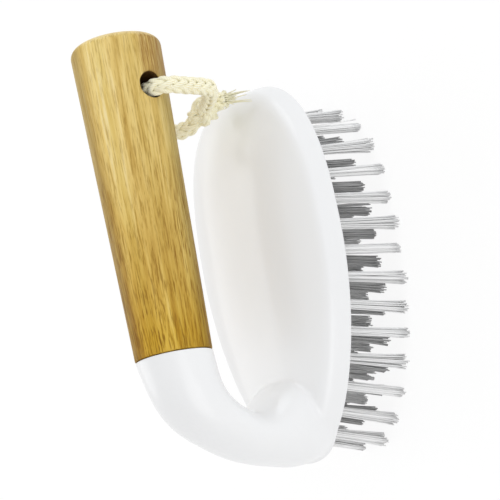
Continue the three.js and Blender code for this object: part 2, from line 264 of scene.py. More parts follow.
class Nodes:
    """A node tree, and short ways to add nodes to it."""

    def __init__(self, tree):
        self.tree = tree

    def put(self, socket, value):
        if isinstance(value, bpy.types.NodeSocket):
            self.tree.links.new(value, socket)
        else:
            socket.default_value = value

    def node(self, kind, inputs=(), **settings):
        made = self.tree.nodes.new(kind)
        for key, value in settings.items():
            setattr(made, key, value)
        for key, value in dict(inputs).items():
            self.put(made.inputs[key], value)
        return made

    def maths(self, kind, a, b=0.0):
        return self.node("ShaderNodeMath", {0: a, 1: b}, operation=kind).outputs[0]

    def plus(self, a, b):
        return self.maths("ADD", a, b)

    def minus(self, a, b):
        return self.maths("SUBTRACT", a, b)

    def times(self, a, b):
        return self.maths("MULTIPLY", a, b)

    def levels(self, factor, low, high, from_low=0.0, from_high=1.0):
        """The factor's range, from_low to from_high, carried over to low to high."""
        inputs = {"Value": factor, "From Min": from_low, "From Max": from_high, "To Min": low, "To Max": high}
        return self.node("ShaderNodeMapRange", inputs).outputs["Result"]

    def parts(self, vector):
        return self.node("ShaderNodeSeparateXYZ", {0: vector}).outputs


class Finish(Nodes):
    """A material with one principled shader."""

    def __init__(self, name, **sockets):
        self.material = bpy.data.materials.new(name)
        self.material.use_nodes = True
        super().__init__(self.material.node_tree)
        self.shader = self.tree.nodes["Principled BSDF"].inputs
        for socket, value in sockets.items():
            self.shader[socket.replace("_", " ")].default_value = value

    def object_space(self, scale=(1, 1, 1), offset=(0, 0, 0)):
        place = self.node("ShaderNodeTexCoord").outputs["Object"]
        inputs = {"Vector": place, "Scale": scale, "Location": offset}
        return self.node("ShaderNodeMapping", inputs).outputs["Vector"]

    def noise(self, vector, scale, detail=3.0, roughness=0.5, distortion=0.0):
        inputs = {"Vector": vector, "Scale": scale, "Detail": detail, "Roughness": roughness}
        return self.node("ShaderNodeTexNoise", {**inputs, "Distortion": distortion}).outputs["Fac"]

    def attribute(self, name):
        return self.node("ShaderNodeAttribute", attribute_name=name).outputs["Fac"]

    def ramp(self, factor, stops):
        made = self.node("ShaderNodeValToRGB", {"Fac": factor})
        band = made.color_ramp.elements
        while len(band) < len(stops):
            band.new(0.5)
        for element, (place, colour) in zip(band, stops):
            element.position, element.color = place, rgba(colour)
        return made.outputs["Color"]

    def shares(self, a, share_a, b, share_b):
        return self.plus(self.times(a, share_a), self.times(b, share_b))

    def mixed(self, factor, a, b, kind="MIX"):
        made = self.node("ShaderNodeMix", data_type="RGBA", blend_type=kind)
        for place, value in ((0, factor), (6, a), (7, b)):  # the factor, and the inputs for colours
            self.put(made.inputs[place], rgba(value) if isinstance(value, tuple) else value)
        return made.outputs[2]

    def wear(self, vector, scale):
        """Tone, scuff and height, as handling_wear has them."""
        inputs = {"Vector": vector, "Scale": scale}
        return self.node("ShaderNodeGroup", inputs, node_tree=handling_wear()).outputs

    def colour(self, value):
        self.put(self.shader["Base Color"], value)

    def gloss(self, value):
        self.put(self.shader["Roughness"], value)

    def bump(self, height, distance, strength):
        made = self.node("ShaderNodeBump", {"Strength": strength, "Distance": distance, "Height": height})
        self.put(self.shader["Normal"], made.outputs["Normal"])


class Growth(Nodes):
    """A geometry tree with named inputs, one of them the finish of what it makes."""

    def __init__(self, name, sockets):
        super().__init__(bpy.data.node_groups.new(name, "GeometryNodeTree"))
        add_socket = self.tree.interface.new_socket
        for way in ("INPUT", "OUTPUT"):
            add_socket("Geometry", in_out=way, socket_type="NodeSocketGeometry")
        for label, kind in sockets.items():
            add_socket(label, in_out="INPUT", socket_type="NodeSocket" + kind)
        self.given = self.node("NodeGroupInput").outputs
        self.result = self.node("NodeGroupOutput").inputs

    def make(self, kind, inputs=(), **settings):
        """A new node's first output."""
        return next(s for s in self.node(kind, inputs, **settings).outputs if s.enabled)

    def xyz(self, x, y, z):
        return self.make("ShaderNodeCombineXYZ", {0: x, 1: y, 2: z})

    def added(self, a, b):
        return self.make("ShaderNodeVectorMath", {0: a, 1: b}, operation="ADD")

    def scaled(self, vector, by):
        return self.make("ShaderNodeVectorMath", {"Vector": vector, "Scale": by}, operation="SCALE")

    def stored(self, geometry, label, kind, value):
        inputs = {"Geometry": geometry, "Name": label}
        made = self.node("GeometryNodeStoreNamedAttribute", inputs, data_type=kind, domain="POINT")
        self.put(next(s for s in made.inputs if s.enabled and s.name == "Value"), value)
        return made.outputs["Geometry"]

    def named(self, label, kind="FLOAT"):
        return self.make("GeometryNodeInputNamedAttribute", {"Name": label}, data_type=kind)

    def moved(self, geometry, offset):
        return self.make("GeometryNodeSetPosition", {"Geometry": geometry, "Offset": offset})

    def set_on(self, points, copy):
        """A copy on each point, as plain mesh."""
        copies = self.make("GeometryNodeInstanceOnPoints", {"Points": points, "Instance": copy})
        return self.make("GeometryNodeRealizeInstances", {"Geometry": copies})

    def ended(self, geometry):
        smooth = self.make("GeometryNodeSetShadeSmooth", {0: geometry})
        inputs = {"Geometry": smooth, "Material": self.given["Finish"]}
        self.put(self.result["Geometry"], self.make("GeometryNodeSetMaterial", inputs))
        return self.tree


def handling_wear():
    """Shared unevenness of a handled surface: a slow change of tone, finer scuffs and a faint relief."""
    name = "handling_wear"
    if name in bpy.data.node_groups:
        return bpy.data.node_groups[name]
    group = Nodes(bpy.data.node_groups.new(name, "ShaderNodeTree"))
    add_socket = group.tree.interface.new_socket
    add_socket("Vector", in_out="INPUT", socket_type="NodeSocketVector")
    add_socket("Scale", in_out="INPUT", socket_type="NodeSocketFloat")
    given, result = group.node("NodeGroupInput").outputs, group.node("NodeGroupOutput").inputs
    for label, finer, detail in (("Tone", 1.0, 2.0), ("Scuff", 5.0, 5.0), ("Height", 22.0, 2.0)):
        add_socket(label, in_out="OUTPUT", socket_type="NodeSocketFloat")
        scale = group.times(given["Scale"], finer)
        noise = group.node("ShaderNodeTexNoise", {"Vector": given["Vector"], "Scale": scale, "Detail": detail})
        group.put(result[label], noise.outputs["Fac"])
    return group.tree


# ---- Finishes

WORN = (0.3, 0.7)  # between these levels of its noise, the wear goes from least to most


def worn_plastic(name, grain, least, most, gloss, relief, strength, **sockets):
    f = Finish(name, IOR=1.48, **sockets)
    tone, scuff, height = f.wear(f.object_space(), grain)
    f.colour(f.ramp(tone, list(zip(WORN, (least, most)))))
    f.gloss(f.levels(scuff, *gloss, *WORN))
    f.bump(height, relief * MM, strength)
    return f.material


def moulded_white():
    least, most = (0.855, 0.859, 0.866), (0.865, 0.869, 0.876)
    coat = {"Coat_Weight": 0.25, "Coat_Roughness": 0.12}
    return worn_plastic("moulded_white", 26.0, least, most, (0.285, 0.315), 0.01, 0.25, **coat)


def plate_white():
    least, most = (0.72, 0.72, 0.715), (0.80, 0.80, 0.795)
    return worn_plastic("plate_white", 60.0, least, most, (0.34, 0.55), 0.04, 0.6)


def filament(name, root, tip):
    """Nylon filament: each one has its own shade, and it is duller at the root."""
    f = Finish(name, Roughness=0.42, IOR=1.5)
    speck = f.noise(f.object_space((1, 1, 0.2)), 900.0, 2.0)
    mottle = f.shares(f.attribute("shade"), 0.7, speck, 0.3)
    dull, fresh = (
        f.ramp(mottle, [(0.2, tuple(darkest * c for c in full)), (0.8, full)])
        for full, darkest in ((root, 0.8), (tip, 0.88))
    )
    f.colour(f.mixed(f.levels(f.attribute("along"), 0.0, 1.0, 0.1, 0.7), dull, fresh))
    f.bump(speck, 0.03 * MM, 0.4)
    return f.material


WOOD_TONES = (0.36, 0.45, 0.53, 0.62)
PALE_WOOD = ((0.64, 0.43, 0.115), (0.82, 0.60, 0.20), (0.92, 0.72, 0.30), (0.98, 0.83, 0.48))  # at the free end
DEEP_WOOD = ((0.40, 0.20, 0.016), (0.58, 0.34, 0.036), (0.70, 0.45, 0.064), (0.81, 0.57, 0.13))  # at the arm
GRAIN = [(0.36, (0.54, 0.46, 0.30)), (0.48, (0.94, 0.92, 0.87)), (0.6, (1.0, 1.0, 1.0))]
STRIP_TINTS_AND_PAINTED_LIGHT = [  # laminated strips of the grip, with painted light: a painted highlight near 80 degrees, painted shade from 90 to 102 degrees and on the underside; angle from its near side over the top, and tint
    (-120, (0.60, 0.60, 0.60)),
    (-60, (0.55, 0.55, 0.55)),
    (-22, (0.60, 0.62, 0.63)),
    (-4, (0.84, 0.85, 0.86)),
    (10, (0.86, 0.86, 0.86)),
    (22, (0.82, 0.81, 0.76)),
    (37, (0.94, 0.95, 1.0)),
    (52, (0.95, 0.95, 0.97)),
    (64, (0.88, 0.87, 0.77)),
    (80, (0.97, 0.97, 0.96)),
    (90, (0.76, 0.72, 0.62)),
    (102, (0.55, 0.51, 0.40)),
    (165, (0.70, 0.70, 0.70)),
]
BAND_EDGE_WANDER = 0.08  # radians that the edges of the strips and painted light bands stray along the grip
# the last colour, for the bored hole, is painted shade
PORE_BROWN, SEAM_BROWN, BORE_SHADE = (0.20, 0.09, 0.012), (0.30, 0.145, 0.03), (0.045, 0.016, 0.006)
SEAM = (math.radians(7), math.radians(13))  # a dark strip at the free end lies below these angles
SEAM_START = (0.060, 0.066)  # metres along the brush
SEAM_RAGGED = 0.012  # metres by which the streaks shift its start
END_ROUND_HIGHLIGHT = (0.80, 0.68, 0.42)  # painted highlight: paler along the rounded edge of the free end


def varnished_bamboo():
    """Lengthwise streaks, short flecks and darker pores, deeper in colour towards the arm; the tints round the grip
    hold a painted highlight and painted shade, the free end's edge a painted highlight, and the bored hole painted
    shade.
    """
    f = Finish("varnished_bamboo", Specular_IOR_Level=0.1, IOR=1.4)

    def fibres(along, across, offset, detail, roughness=0.5, distortion=0.0):
        """Noise drawn out along the grip."""
        space = f.object_space((along, across, across), offset)
        return f.noise(space, 1.0, detail, roughness, distortion)

    broad = fibres(4.0, 95.0, (0.9, 0.63, 0.2), 2.0)
    streak = fibres(24.0, 620.0, (0, 0, 0), 4.0, 0.62, 0.2)
    fleck = fibres(105.0, 1600.0, (2, 7, 4), 3.0, 0.65)
    pores = fibres(170.0, 1700.0, (3, 5, 1), 1.0, 0.4)
    patches = fibres(14.0, 60.0, (1, 2, 3), 2.0)
    x, y, z = f.parts(f.object_space())
    (joint_x, _, joint_z), (hole_x, _, hole_z) = JOINT * MM, HOLE * MM
    free_end = (HOLE[0] + HOLE_FROM_END) * MM

    to_arm = f.levels(x, 1.0, 0.0, joint_x, joint_x + GRIP_LENGTH * MM)
    tone = f.shares(broad, 0.55, streak, 0.45)
    pale, deep = (f.ramp(tone, list(zip(WOOD_TONES, colours))) for colours in (PALE_WOOD, DEEP_WOOD))
    wood = f.mixed(f.maths("POWER", f.levels(to_arm, 0.0, 1.0, 0.1, 0.95), 1.6), pale, deep)
    wood = f.mixed(f.levels(to_arm, 0.55, 0.95, 0.15, 0.8), wood, f.ramp(fleck, GRAIN), "MULTIPLY")

    above_axis = f.minus(z, f.levels(x, joint_z, hole_z, joint_x, hole_x))
    around = f.maths("ARCTAN2", above_axis, f.times(y, -1.0))
    around = f.plus(around, f.levels(broad, -BAND_EDGE_WANDER, BAND_EDGE_WANDER, 0.3, 0.7))
    turned = f.levels(around, 0.0, 1.0, -math.pi, math.pi)
    # tints by angle round the grip: laminated strips, with a painted highlight near 80 degrees and painted shade from
    # 90 to 102 degrees and on the underside
    tints = f.ramp(turned, [((angle + 180) / 360, tint) for angle, tint in STRIP_TINTS_AND_PAINTED_LIGHT])
    on_side = f.levels(x, 1.0, 0.0, free_end - 2.2 * MM, free_end - 0.6 * MM)  # not on the end face
    wood = f.mixed(on_side, wood, tints, "MULTIPLY")

    often = f.times(f.levels(patches, 0.0, 1.0, 0.36, 0.58), f.levels(to_arm, 0.35, 1.0, 0.1, 0.7))
    dark_dash = f.times(f.times(f.levels(pores, 0.0, 1.0, 0.58, 0.68), often), 0.7)
    wood = f.mixed(dark_dash, wood, PORE_BROWN)

    near_end = f.levels(f.plus(x, f.times(streak, SEAM_RAGGED)), 0.0, 1.0, *SEAM_START)
    strip = f.times(f.times(f.levels(around, 1.0, 0.0, *SEAM), near_end), on_side)
    wood = f.mixed(f.times(strip, f.levels(fleck, 0.85, 0.35, 0.4, 0.6)), wood, SEAM_BROWN)
    # painted highlight: a paler line along the rounded edge of the free end
    wood = f.mixed(f.levels(x, 0.0, 0.45, free_end - 2.4 * MM, free_end - 1.0 * MM), wood, END_ROUND_HIGHLIGHT)

    off_x, off_z = (f.maths("POWER", f.minus(a, b), 2.0) for a, b in ((x, hole_x), (z, hole_z)))
    from_bore = f.maths("SQRT", f.plus(off_x, off_z))
    bored = f.levels(from_bore, 1.0, 0.0, (HOLE_RADIUS + 0.05) * MM, (HOLE_RADIUS + 0.25) * MM)
    # painted shade: the inside of the bored hole is coloured almost black
    f.colour(f.mixed(f.times(bored, 0.92), wood, BORE_SHADE))

    _, scuff, height = f.wear(f.object_space((0.3, 1, 1)), 60.0)
    f.gloss(f.plus(f.levels(scuff, 0.34, 0.5, *WORN), f.times(dark_dash, 0.2)))
    f.bump(f.minus(f.plus(fleck, f.times(height, 0.2)), dark_dash), 0.06 * MM, 0.6)
    return f.material


# the dark brown first stop falls in the low grooves between the yarns: painted shade there
YARN = [(0.15, (0.78, 0.64, 0.32)), (0.38, (0.99, 0.94, 0.66)), (0.75, (1.0, 0.99, 0.84))]
YARN_CLOUD = (0.97, 0.94, 0.70)
YARN_TWIST = 0.17  # radians between the yarns and their strand


def cotton():
    """Undyed plaited cotton: twisted yarns along each strand, from the strand's own coordinates; the grooves between
    the yarns carry painted shade, dark brown.
    """
    f = Finish("undyed_cotton", Roughness=0.92, IOR=1.4, Sheen_Weight=0.35, Sheen_Roughness=0.5)
    strand = f.node("ShaderNodeUVMap", uv_map="strand").outputs["UV"]
    twisted = f.node("ShaderNodeMapping", {"Vector": strand, "Rotation": (0, 0, YARN_TWIST)}).outputs["Vector"]
    lines = {"Vector": twisted, "Scale": 1.9, "Distortion": 1.0, "Detail": 2.0, "Detail Scale": 2.0}
    yarn = f.node("ShaderNodeTexWave", lines, bands_direction="Y").outputs["Fac"]
    cloud = f.noise(f.object_space(), 140.0, 3.0)
    fluff = f.noise(f.object_space(), 2600.0, 3.0, 0.7)
    tone = f.shares(yarn, 0.55, fluff, 0.45)
    f.colour(f.mixed(f.levels(cloud, 0.0, 0.5, 0.4, 0.7), f.ramp(tone, YARN), YARN_CLOUD))
    f.bump(tone, 0.16 * MM, 0.6)
    return f.material


# ---- Rope: two plaited strands from the hole to the knot, the knot and two frayed ends. Its places are from the hole

ROPE_LOW, ROPE_LEAN = -1.2, -0.9  # where the rope lies in its hole
ROPE_OUT = 20.2
KNOT = np.array([-2.4, 0.0, -34.5])
FRONT_ROUTE = [
    (ROPE_LEAN, 0, ROPE_LOW),
    (ROPE_LEAN, -7, ROPE_LOW),
    (ROPE_LEAN, -14.7, ROPE_LOW),
    (-1.2, -18.6, ROPE_LOW - 1.6),
    (-1.4, -ROPE_OUT, ROPE_LOW - 5.6),
    (-1.4, -ROPE_OUT, -11.5),
    (-1.2, -ROPE_OUT, -17),
    (-1.1, -18.9, -22.2),
    (-1.2, -14.8, -26.4),
    (-1.9, -8, -30.5),
    tuple(KNOT),
]
REAR_ROUTE = [
    (ROPE_LEAN, 0, ROPE_LOW),
    (ROPE_LEAN, 7, ROPE_LOW),
    (ROPE_LEAN, 14.7, ROPE_LOW),
    (-1.2, 18.6, ROPE_LOW - 1.6),
    (-1.5, ROPE_OUT, ROPE_LOW - 5.6),
    (-2.4, ROPE_OUT, -12),
    (-3.8, 19.8, -19),
    (-5.2, 17.2, -25),
    (-6.4, 12.4, -29.4),
    (-6.4, 6, -32.6),
    tuple(KNOT),
]
FRONT_TAIL = [tuple(KNOT), (0.2, -5, -38.6), (0.2, -10.5, -41.4), (1.2, -15.5, -43)]
REAR_TAIL = [tuple(KNOT), (-1.6, 2, -39.5), (-0.6, 1.6, -42.4), (0.6, 0.8, -45)]
TAIL_START = 3.0  # from the knot's middle

PLAIT_TURN = 23.0  # length in which a strand goes once round the rope
PLAIT_STEP = 0.36
PLAIT_STRANDS = 12
PLAIT_WIDE = np.array([1.2, 1.0, 1.0])  # the plait lies a little flat
STRAND_FROM_AXIS, STRAND_WEAVE = 1.78, 0.4  # mean distance from the rope's axis, and its change over and under
STRAND_HALF_WIDE, STRAND_HALF_THICK = 0.9, 0.7
STRAND_SIDES = 8
STRAND_OFFSET, YARN_OFFSET = 7.3, 3.1  # from the pattern's start on one strand or yarn to the next

YARN_RADIUS, YARN_SIDES = 0.36, 5
YARN_SPREAD = 1.7  # how far out the yarns leave the plait's end
YARN_ROOT = 1.2  # how far back in the plait they begin
YARN_SAG = 1.1

KNOT_LOBE, KNOT_ROPE = 1.12, 4.6  # size of its lobes, and the rope's diameter where it is pulled tight
KNOT_LEAN, KNOT_TURN = math.radians(30), math.radians(80)


def tube_rings(line, half_wide, half_thick, up, sides):
    """Oval rings round a line, their thin way along up."""
    tangent = unit(np.gradient(line, axis=0))
    side = unit(np.cross(tangent, up))
    lift = np.cross(side, tangent)
    turn = full_turn(sides)
    wide, thick = (np.broadcast_to(np.asarray(h, float), (len(line),)) for h in (half_wide, half_thick))
    return (
        line[:, None]
        + side[:, None] * (wide[:, None] * np.cos(turn))[..., None]
        + lift[:, None] * (thick[:, None] * np.sin(turn))[..., None]
    )


class Strands:
    """Gathers tubes into one mesh, each with its own run of coordinates along and round it."""

    def __init__(self):
        self.verts, self.faces, self.along, self.count = [], [], [], 0

    def add(self, rings, line, start):
        rows, sides = rings.shape[:2]
        reach = reaches(line) + start
        verts, faces = skin(list(rings))
        self.verts.append(verts)
        self.faces += [tuple(i + self.count for i in face) for face in faces]
        self.along.append(np.stack([np.repeat(reach, sides), np.tile(np.arange(sides) / sides, rows)], 1))
        self.count += len(verts)

    def piece(self, name, finish, stands_for):
        mesh = mesh_of(name, (np.concatenate(self.verts) + HOLE) * MM, self.faces, outward=False)
        along = np.concatenate(self.along)
        corner = np.zeros(len(mesh.loops), np.int32)
        mesh.loops.foreach_get("vertex_index", corner)
        strand = mesh.uv_layers.new(name="strand")
        strand.data.foreach_set("uv", along[corner].astype(np.float32).ravel())
        return add_piece(name, mesh, finish, "rope", [stands_for])


def plait(strands, line, diameter, fade_out=0.0):
    """A round plait along a line, each strand over two and under two. fade_out opens its far end."""
    count = max(24, int(line_length(line) / PLAIT_STEP))
    line = even_steps(line, count)
    reach = np.linspace(0, line_length(line), count)
    tangent, side, other = carried_frames(line)
    size = diameter / ROPE
    open_out = 1 + fade_out * (reach / reach[-1]) ** 3
    for k in range(PLAIT_STRANDS):
        way = 1 if k % 2 else -1
        turn = (k // 2) * 4 * np.pi / PLAIT_STRANDS + way * 2 * np.pi * reach / PLAIT_TURN
        over = way * STRAND_WEAVE * np.cos(PLAIT_STRANDS / 4 * turn)
        out = side * np.cos(turn)[:, None] + other * np.sin(turn)[:, None]
        path = line + out * PLAIT_WIDE * ((STRAND_FROM_AXIS + over) * size * open_out)[:, None]
        rings = tube_rings(path, STRAND_HALF_WIDE * size, STRAND_HALF_THICK * size, out, STRAND_SIDES)
        strands.add(rings, path, STRAND_OFFSET * k)
    return line, tangent


def frayed_end(strands, at, direction, yarns, spread, reach, seed):
    """Loose yarns that leave the end of a plait and curl apart, a few of them much longer than the rest."""
    rng = np.random.default_rng(seed)
    direction = direction / np.linalg.norm(direction)
    side = unit(np.cross(direction, (0.2, 0.1, 1.0)))
    other = np.cross(direction, side)
    t = np.linspace(0, 1, 9)[:, None]
    thick = YARN_RADIUS * (1 - 0.6 * t[:, 0])
    for k in range(yarns):
        turn, away = k * GOLDEN_TURN, math.sqrt((k + 0.5) / yarns)
        out = side * math.cos(turn) + other * math.sin(turn)
        curl = unit(rng.normal(size=3)) * rng.uniform(0.3, 1.1)
        long = reach * (rng.uniform(0.75, 1.0) if k % 4 == 0 else rng.uniform(0.25, 0.5))
        path = at + out * away * YARN_SPREAD - direction * YARN_ROOT + direction * long * t
        path = path + out * spread * away * t**1.6 + curl * t**2
        path[:, 2] -= YARN_SAG * t[:, 0] ** 2
        rings = tube_rings(path, thick, thick, np.broadcast_to(out, path.shape), YARN_SIDES)
        strands.add(rings, path, YARN_OFFSET * k)


def hanging_strand(name, route, finish):
    strands = Strands()
    line, _ = plait(strands, smooth_line(route), ROPE)
    return strands.piece(name, finish, "rope_loop"), (line + HOLE) * MM


def rope_end(name, route, finish, plaited, yarns, spread, reach, seed):
    line = smooth_line(route)
    line = even_steps(line[np.linalg.norm(line - KNOT, axis=1) > TAIL_START], 60)
    strands = Strands()
    cut, tangent = plait(strands, line[: int(len(line) * plaited)], TAIL, fade_out=0.25)
    frayed_end(strands, cut[-1], tangent[-1], yarns, spread, reach, seed)
    return strands.piece(name + "_frayed", finish, name)


def tied_knot(finish):
    """A tight overhand knot: the rope's three lobes over the place where both strands meet."""
    t = np.linspace(0, 2 * np.pi, 241)
    lobes = np.stack([np.sin(t) + 2 * np.sin(2 * t), np.cos(t) - 2 * np.cos(2 * t), -1.5 * np.sin(3 * t)], 1)
    (c, s), (d, e) = ((math.cos(angle), math.sin(angle)) for angle in (KNOT_LEAN, KNOT_TURN))
    tip, spin = np.array([[1, 0, 0], [0, c, -s], [0, s, c]]), np.array([[d, -e, 0], [e, d, 0], [0, 0, 1]])
    strands = Strands()
    plait(strands, KNOT + (KNOT_LOBE * lobes) @ (spin @ tip).T, KNOT_ROPE)
    return strands.piece("rope_knot_tied", finish, "rope_knot")


rope_finish = cotton()
front_strand, front_line = hanging_strand("rope_strand_front", FRONT_ROUTE, rope_finish)
rear_strand, rear_line = hanging_strand("rope_strand_rear", REAR_ROUTE, rope_finish)
knot = tied_knot(rope_finish)
front_end = rope_end("rope_tail_front", FRONT_TAIL, rope_finish, plaited=0.45, yarns=18, spread=1.2, reach=10.5, seed=3)
rear_end = rope_end("rope_tail_rear", REAR_TAIL, rope_finish, plaited=0.6, yarns=16, spread=0.8, reach=5.0, seed=8)
for strand, line, side, ends in (
    (front_strand, front_line, -1, [knot, front_end]),
    (rear_strand, rear_line, 1, [rear_end]),
):
    line_length(line)
    even_steps(line, 40)
    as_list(ends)

# ---- Head and arm: one smooth moulding


def outline(angles, inset, tip_inset=None):
    """Points of the head's outline, drawn in by an inset, as x and y."""
    tip_inset = inset if tip_inset is None else tip_inset
    c, s = np.cos(angles), np.sin(angles)
    power = 2 / np.where(c >= 0, TIP_FULLNESS, HEEL_FULLNESS)
    reach = np.where(c >= 0, TIP_REACH - tip_inset, HEEL_REACH - inset)
    x = reach * np.sign(c) * np.abs(c) ** power
    y = (HEAD_WIDTH / 2 - inset) * np.sign(s) * np.abs(s) ** power
    return np.stack([x, y], 1)


def even_angles(count):
    """Angles that step evenly along the outline."""
    angles = np.linspace(0, 2 * np.pi, 20001)
    reach = reaches(outline(angles, 0.0))
    return np.interp(np.arange(count) * reach[-1] / count, reach, angles)


def at_height(points, z):
    return np.column_stack([points, np.full(len(points), z)])


WALL_OVERRUN = 4.0  # the wall runs on below the rim, where it is cut later


def head_back():
    """Side wall, shoulder and dome."""
    angles = even_angles(440)
    rings = []
    for z in np.linspace(-WALL_OVERRUN, WALL_HEIGHT, 16)[:-1]:
        rings.append(at_height(outline(angles, WALL_LEAN * z / WALL_HEIGHT), z))
    wall_slope = WALL_HEIGHT / WALL_LEAN
    dome_slope = DOME_RISE * DOME_FULLNESS / (HEAD_WIDTH / 2 - DOME_INSET)
    turn = (SHOULDER_RISE - SHOULDER_WIDTH * dome_slope) / (wall_slope - dome_slope)
    a, c = np.array([WALL_LEAN, WALL_HEIGHT]), np.array([DOME_INSET, DOME_START])
    b = a + turn * np.array([1, wall_slope])
    for t in np.linspace(0, 1, 18)[:-1]:
        inset, z = (1 - t) ** 2 * a + 2 * t * (1 - t) * b + t**2 * c
        rings.append(at_height(outline(angles, inset), z))
    for share in np.r_[np.linspace(1, 0.06, 56), 0.02]:
        rings.append(at_height(outline(angles, DOME_INSET) * share, CROWN - DOME_RISE * share**DOME_FULLNESS))
    return skin(rings)


JOINT_OVERRUN = 3.0  # the arm runs on past the joint, where it is cut later
ARM_STATIONS, ARM_SIDES, ARM_EASE = 170, 84, 100
FOOT_SQUARE = 0.7  # how much squarer than an oval the arm's foot is
FOOT_FROM, FOOT_TO = 0.62, 0.84  # shares of the arm's length over which it becomes so


def bent_arm():
    line = smooth_line(ARM[:, :2], 28)
    reach = reaches(line)
    stations = np.column_stack([line, smooth_line(ARM[:, 2:], 28)])
    stations = at_reaches(stations, reach, np.linspace(0, reach[-1], ARM_STATIONS))
    for _ in range(ARM_EASE):  # eases the swell of the foot
        stations[1:-1] += 0.25 * (stations[:-2] - 2 * stations[1:-1] + stations[2:])
    line, size = stations[:, :2], stations[:, 2:]
    at = np.linspace(0, 1, len(line))[:, None]
    grip_way, down = GRIP_AXIS[[0, 2]], np.array([0.0, -1.0])
    along = unit(np.gradient(line, axis=0))
    along = along + np.clip(1 - at * 10, 0, 1) * (-grip_way - along)
    along = unit(along + np.clip(1 - (1 - at) * 6, 0, 1) * (down - along))
    line = np.vstack([line[0] + JOINT_OVERRUN * grip_way, line])
    size, along = np.vstack([size[0], size]), np.vstack([along[0], along])
    turn = full_turn(ARM_SIDES)
    across, up = np.cos(turn), np.sin(turn)
    square = 2 + FOOT_SQUARE * fade(np.r_[0, at[:, 0]], FOOT_FROM, FOOT_TO)
    rings = []
    for (x, z), (thick, wide), (ax, az), power in zip(line, size, along, square):
        round_to = (np.abs(across) ** power + np.abs(up) ** power) ** (-1 / power)
        off = thick / 2 * up * round_to
        rings.append(np.stack([x - az * off, wide / 2 * across * round_to, z + ax * off], 1))
    return skin(rings)


VOXEL = 0.65
FILLET = 1.4  # width of the blend where the arm's foot meets the dome
FILLET_RISE, LEAST_FILLET = 3.0, 0.04  # it grows over this height above the side wall, where there is hardly any
HEEL_EASE, NECK_EASE = 70, 80
RIM_CUT = 1.4  # above the rim, where its rounded edge begins
POCKET = RIM_WALL - 0.52  # inset of the pocket's wall from the wall at the cut
RIM_PROFILE = [  # inset from the wall at the cut, and height above the rim, down the edge and up inside the pocket
    (-0.13, 1.05),
    (-0.26, 0.7),
    (-0.3, 0.42),
    (-0.22, 0.18),
    (-0.03, 0.04),
    (0.25, 0.0),
    (POCKET - 0.43, 0.0),
    (POCKET - 0.1, 0.1),
    (POCKET, 0.4),
    (POCKET, LEDGE),
    (POCKET + LEDGE_WIDTH, LEDGE),
    (POCKET + LEDGE_WIDTH, LEDGE + 2.0),
]
JOINT_EDGE = 0.5
JOINT_PROFILE = [(0.3, 0.02), (0.44, 0.14), (JOINT_EDGE, 0.42), (JOINT_EDGE, 5.0)]  # step to the grip, and inset
ARM_ONLY = 33.0  # above the rim, past the dome and the foot


def closest(tree, points):
    """Signed distance to a closed skin, and the way out of it, for each point."""
    distance, way = np.zeros(len(points)), np.zeros((len(points), 3))
    for i, p in enumerate(points):
        spot, normal, _, gap = tree.find_nearest(p)
        inside = (p[0] - spot.x) * normal.x + (p[1] - spot.y) * normal.y + (p[2] - spot.z) * normal.z < 0
        distance[i] = -gap if inside else gap
        way[i] = normal
    return distance, way


def settle_on(points, trees):
    """Moves points on to the smooth union of two skins."""
    (d1, n1), (d2, n2) = (closest(tree, points) for tree in trees)
    above_wall = points[:, 2] / MM - SHIFT[2] - WALL_HEIGHT
    fillet = FILLET * MM * np.clip(above_wall / FILLET_RISE, LEAST_FILLET, 1)
    share = np.clip(0.5 + 0.5 * (d2 - d1) / fillet, 0, 1)
    depth = d2 + (d1 - d2) * share - fillet * share * (1 - share)
    way = unit(n2 + (n1 - n2) * share[:, None])
    return points - way * depth[:, None]


def ease(points, edges, steps, share=1.0):
    """Moves points half way to the middle of their neighbours, a number of times."""
    for _ in range(steps):
        total, count = np.zeros_like(points), np.zeros(len(points))
        for a, b in ((0, 1), (1, 0)):
            np.add.at(total, edges[:, a], points[edges[:, b]])
            np.add.at(count, edges[:, a], 1)
        points += 0.5 * share * (total / count[:, None] - points)


def numbers_of(items, field, width, kind):
    """A field of a mesh's vertices or edges, as rows."""
    flat = np.zeros(len(items) * width, kind)
    items.foreach_get(field, flat)
    return flat.reshape(-1, width)


def head_skin():
    """The head's back and the arm as one even skin, with its blends."""
    shells = [mesh_of("shell", in_place(verts), faces) for verts, faces in (head_back(), bent_arm())]
    both, trees = bmesh.new(), []
    for shell in shells:
        bm = opened(shell)
        trees.append(BVHTree.FromBMesh(bm))
        bm.free()
        both.from_mesh(shell)
    rough = bpy.data.meshes.new("head_rough")
    put_back(both, rough)
    block = rough_object("head_rough", rough)
    remesh = block.modifiers.new("even_skin", "REMESH")
    remesh.mode, remesh.voxel_size = "VOXEL", VOXEL * MM
    mesh = settled_mesh(block)
    points = numbers_of(mesh.vertices, "co", 3, np.float32).astype(float)
    edges = numbers_of(mesh.edges, "vertices", 2, np.int32)
    for steps in (3, 3, 6):
        points = settle_on(points, trees)
        ease(points, edges, steps)
    x, z = points[:, 0] / MM - SHIFT[0], points[:, 2] / MM - SHIFT[2]
    at_heel = fade(x, -61, -69) * fade(z, 13, 8)
    at_neck = fade(z, 14, 17) * fade(z, 36, 30) * fade(x, -66, -60)
    ease(points, edges, HEEL_EASE, at_heel[:, None])  # the arm runs into the heel's wall without a step
    ease(points, edges, NECK_EASE, at_neck[:, None])  # and its neck swells into the foot in one hollow
    mesh.vertices.foreach_set("co", points.astype(np.float32).ravel())
    mesh.update()
    return mesh


